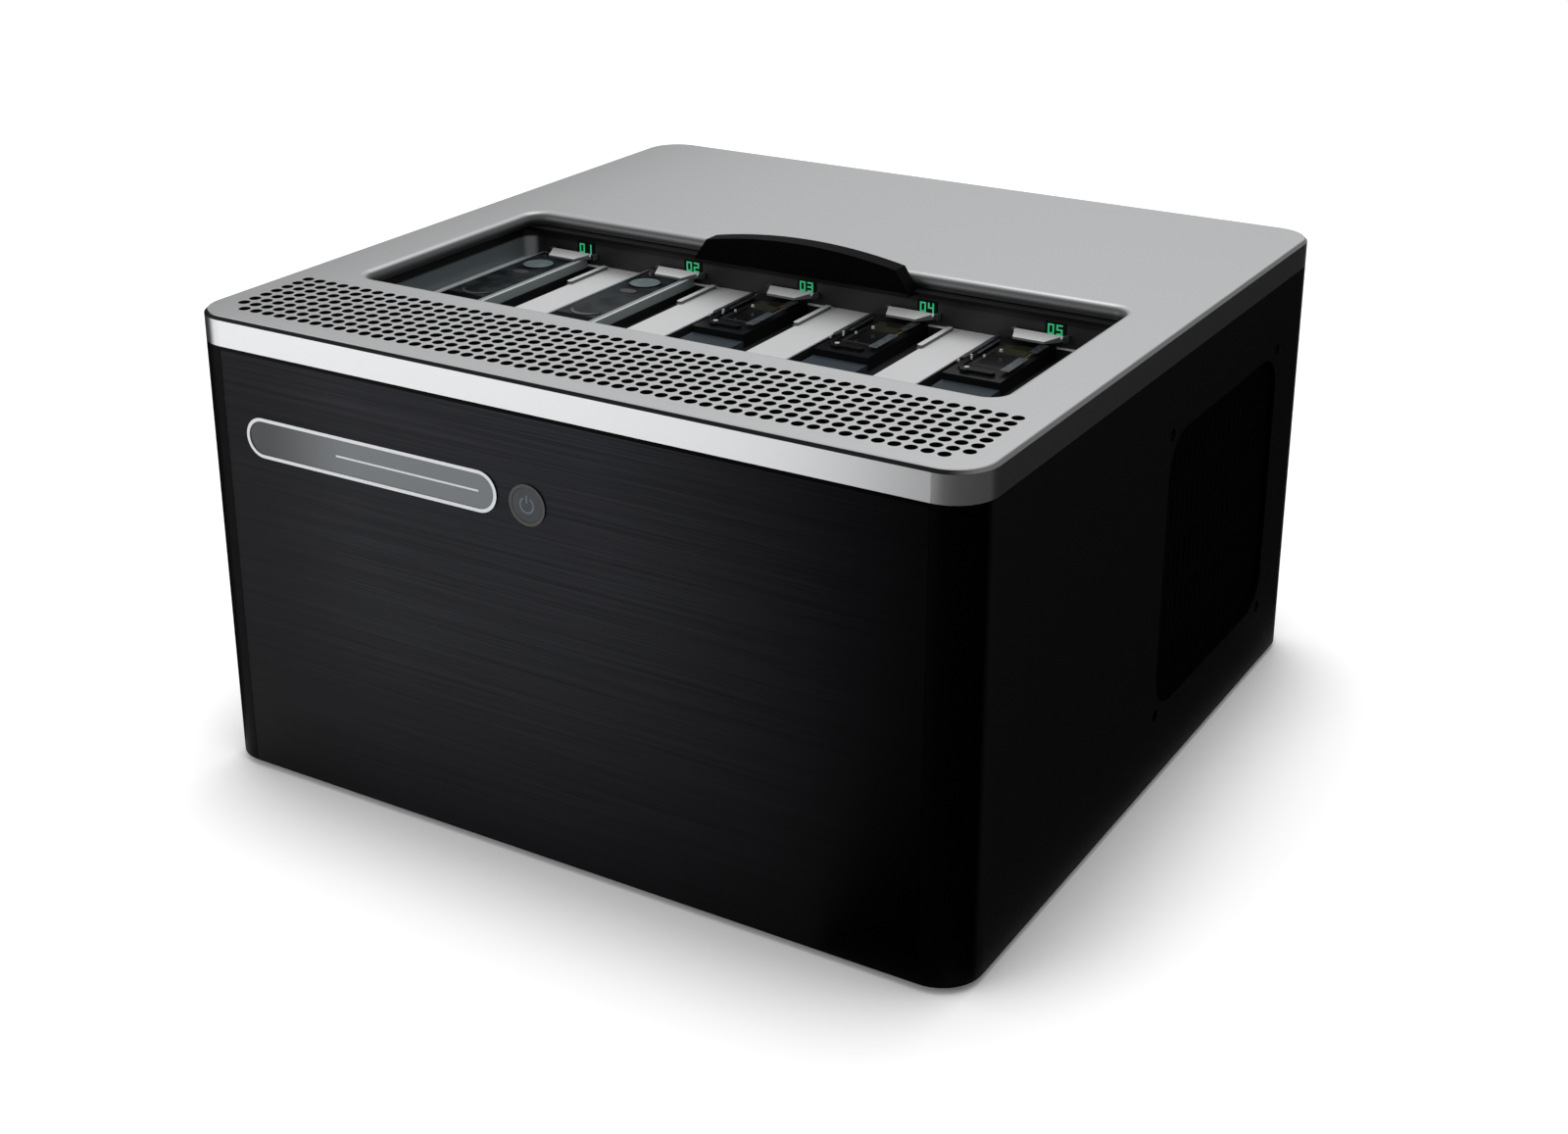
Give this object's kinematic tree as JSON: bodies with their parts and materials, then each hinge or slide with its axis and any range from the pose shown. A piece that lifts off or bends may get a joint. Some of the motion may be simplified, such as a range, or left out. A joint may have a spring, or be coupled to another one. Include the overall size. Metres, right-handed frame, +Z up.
{
  "type": "benchtop sequencer",
  "caption": "Cube-like benchtop sequencer with a silver top, a sliding cover over its cell bays, clips, vents, a front badge and a power button.",
  "frame": {"origin": "middle of the footprint on the bench surface that the feet stand on", "axes": "+Z up, -Y out of the front with the badge and the power button, +X to the right of someone facing the front"},
  "size_m": [0.37, 0.365, 0.22],
  "materials": {
    "black_paint": "satin black powder coat",
    "brushed_black": "black, brushed from side to side",
    "silver_cover": "satin silver",
    "frame_metal": "plain sheet metal",
    "foot_rubber": "matte",
    "vent_black": "satin black",
    "screw_steel": "black steel",
    "badge_grey": "mid grey, smooth",
    "bright_rim": "bright",
    "bezel_dark": "gloss",
    "button_glass": "dark, glassy",
    "black_plastic": "matte",
    "tray_grey": "dark slate, satin",
    "deck_silver": "light silver, satin",
    "tab_metal": "satin",
    "contact_brass": "plain",
    "number_black": "dark window",
    "number_green": "lit green",
    "board_green": "solder resist",
    "sheet_black": "satin black",
    "cable_grey": "flat cable",
    "test_cell_grey": "light grey",
    "label_dark": "dark slate",
    "flow_cell_black": "black",
    "sensor_dark": "dark, glossy"
  },
  "bodies": {
    "housing": {"base_pan": "black_paint", "feet": "foot_rubber", "corner_posts": "frame_metal", "front_panel": "brushed_black", "side_panel_left": "black_paint", "side_panel_right": "black_paint", "rear_panel": "black_paint", "top_cover": "silver_cover", "air_grille": "silver_cover", "side_vent_left": "vent_black", "side_vent_right": "vent_black", "case_screws": "screw_steel", "badge_plate": "badge_grey", "badge_rim": "bright_rim", "button_bezel": "bezel_dark", "button_switch": "black_plastic", "cover_rails": "black_plastic", "bay_tray": "tray_grey", "deck_plate": "deck_silver", "cell_docks": "black_plastic", "guide_tabs": "tab_metal", "contact_blocks": "contact_brass", "number_windows": "number_black", "bay_numbers": "number_green", "carrier_board": "board_green", "board_standoffs": "contact_brass", "mainboard": "board_green", "cpu_heatsink": "frame_metal", "graphics_card": "black_plastic", "power_supply": "frame_metal", "storage_drives": "frame_metal", "data_cable": "cable_grey", "fan_frames": "black_plastic", "fan_guards": "screw_steel", "io_ports": "frame_metal", "power_inlet": "black_plastic"},
    "sliding_cover": {"cover_sheet": "sheet_black", "cover_grip": "sheet_black"},
    "power_button": {"power_button": "button_glass"},
    "clip_1": {"clip_1": "tab_metal"},
    "clip_2": {"clip_2": "tab_metal"},
    "clip_3": {"clip_3": "tab_metal"},
    "clip_4": {"clip_4": "tab_metal"},
    "clip_5": {"clip_5": "tab_metal"},
    "cell_1": {"cell_body_1": "test_cell_grey", "cell_label_1": "label_dark"},
    "cell_2": {"cell_body_2": "test_cell_grey", "cell_label_2": "label_dark"},
    "cell_3": {"cell_body_3": "flow_cell_black", "cell_window_3": "sensor_dark"},
    "cell_4": {"cell_body_4": "flow_cell_black", "cell_window_4": "sensor_dark"},
    "cell_5": {"cell_body_5": "flow_cell_black", "cell_window_5": "sensor_dark"},
    "port_cover_3": {"port_cover_3": "flow_cell_black"},
    "port_cover_4": {"port_cover_4": "flow_cell_black"},
    "port_cover_5": {"port_cover_5": "flow_cell_black"},
    "rocker_switch": {"rocker_switch": "black_plastic"},
    "fan_left": {"fan_rotor_left": "black_plastic"},
    "fan_right": {"fan_rotor_right": "black_plastic"}
  },
  "joints": [
    {"name": "cover_slide", "type": "slide", "parent": "housing", "child": "sliding_cover", "axis": [0, -1, 0], "range_m": [0, 0.115]},
    {"name": "power_press", "type": "slide", "parent": "housing", "child": "power_button", "axis": [0, 1, 0], "range_m": [0, 0.0015], "stiffness_N_per_m": 800},
    {"name": "clip_lift_1", "type": "hinge", "parent": "housing", "child": "clip_1", "pos_m": [-0.1324, 0.0205, 0.1941], "axis": [-1, 0, 0], "range_deg": [0, 8], "stiffness_Nm_per_rad": 0.2},
    {"name": "clip_lift_2", "type": "hinge", "parent": "housing", "child": "clip_2", "pos_m": [-0.0704, 0.0205, 0.1941], "axis": [-1, 0, 0], "range_deg": [0, 8], "stiffness_Nm_per_rad": 0.2},
    {"name": "clip_lift_3", "type": "hinge", "parent": "housing", "child": "clip_3", "pos_m": [-0.0084, 0.0205, 0.1941], "axis": [-1, 0, 0], "range_deg": [0, 8], "stiffness_Nm_per_rad": 0.2},
    {"name": "clip_lift_4", "type": "hinge", "parent": "housing", "child": "clip_4", "pos_m": [0.0536, 0.0205, 0.1941], "axis": [-1, 0, 0], "range_deg": [0, 8], "stiffness_Nm_per_rad": 0.2},
    {"name": "clip_lift_5", "type": "hinge", "parent": "housing", "child": "clip_5", "pos_m": [0.1156, 0.0205, 0.1941], "axis": [-1, 0, 0], "range_deg": [0, 8], "stiffness_Nm_per_rad": 0.2},
    {"name": "cell_slide_1", "type": "slide", "parent": "housing", "child": "cell_1", "axis": [0, -1, 0], "range_m": [0, 0.0095]},
    {"name": "cell_slide_2", "type": "slide", "parent": "housing", "child": "cell_2", "axis": [0, -1, 0], "range_m": [0, 0.0095]},
    {"name": "cell_slide_3", "type": "slide", "parent": "housing", "child": "cell_3", "axis": [0, -1, 0], "range_m": [0, 0.0095]},
    {"name": "cell_slide_4", "type": "slide", "parent": "housing", "child": "cell_4", "axis": [0, -1, 0], "range_m": [0, 0.0095]},
    {"name": "cell_slide_5", "type": "slide", "parent": "housing", "child": "cell_5", "axis": [0, -1, 0], "range_m": [0, 0.0095]},
    {"name": "port_turn_3", "type": "hinge", "parent": "cell_3", "child": "port_cover_3", "pos_m": [-0.019, -0.028, 0.1903], "axis": [0, 0, 1], "range_deg": [0, 90]},
    {"name": "port_turn_4", "type": "hinge", "parent": "cell_4", "child": "port_cover_4", "pos_m": [0.043, -0.028, 0.1903], "axis": [0, 0, 1], "range_deg": [0, 90]},
    {"name": "port_turn_5", "type": "hinge", "parent": "cell_5", "child": "port_cover_5", "pos_m": [0.105, -0.028, 0.1903], "axis": [0, 0, 1], "range_deg": [0, 90]},
    {"name": "rocker_tilt", "type": "hinge", "parent": "housing", "child": "rocker_switch", "pos_m": [0.13, 0.1752, 0.096], "axis": [1, 0, 0], "range_deg": [0, 14]},
    {"name": "fan_spin_left", "type": "hinge", "parent": "housing", "child": "fan_left", "pos_m": [-0.122, 0.1655, 0.1305], "axis": [0, 1, 0], "continuous": true},
    {"name": "fan_spin_right", "type": "hinge", "parent": "housing", "child": "fan_right", "pos_m": [-0.037, 0.1655, 0.1305], "axis": [0, 1, 0], "continuous": true}
  ]
}
